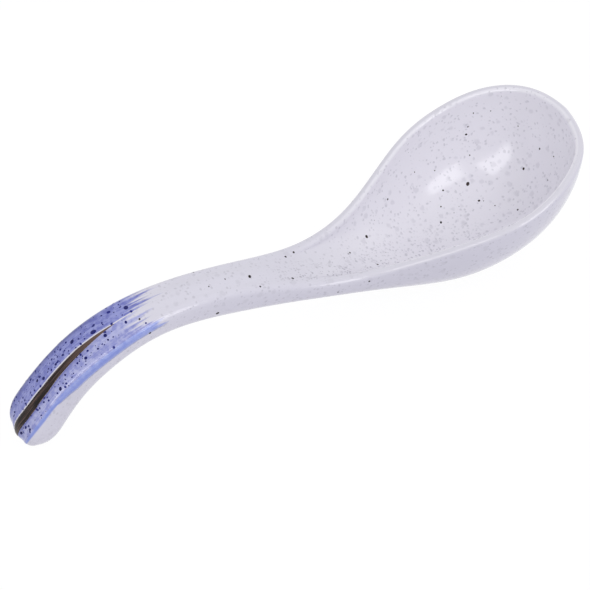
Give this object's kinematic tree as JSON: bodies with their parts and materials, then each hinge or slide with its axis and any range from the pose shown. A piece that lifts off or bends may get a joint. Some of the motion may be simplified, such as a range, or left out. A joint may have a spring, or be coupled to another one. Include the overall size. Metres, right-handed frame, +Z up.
{
  "type": "spoon",
  "caption": "Glazed stoneware ladle spoon: a deep oval bowl on a small bare foot, and a long handle arched down into a hooked end with brushed strokes",
  "frame": {"origin": "middle of the bare foot under the bowl, on the table", "axes": "+X toward the tip of the bowl, +Y across the bowl, +Z up, as the spoon lies on a table on its foot and on the end of its hooked handle"},
  "size_m": [0.1708, 0.0484, 0.0393],
  "materials": {
    "fired_clay": "matt",
    "white_glaze": "gloss",
    "blue_colour": "gloss",
    "brown_colour": "gloss",
    "navy_colour": "gloss",
    "iron_speck": "gloss"
  },
  "bodies": {
    "root": {"clay_body": "fired_clay", "white_glaze": "white_glaze", "far_blue_stroke": "blue_colour", "near_blue_stroke": "blue_colour", "edge_blue_stroke": "blue_colour", "brown_stroke": "brown_colour", "blue_spatter": "navy_colour", "iron_specks": "iron_speck"}
  },
  "joints": []
}
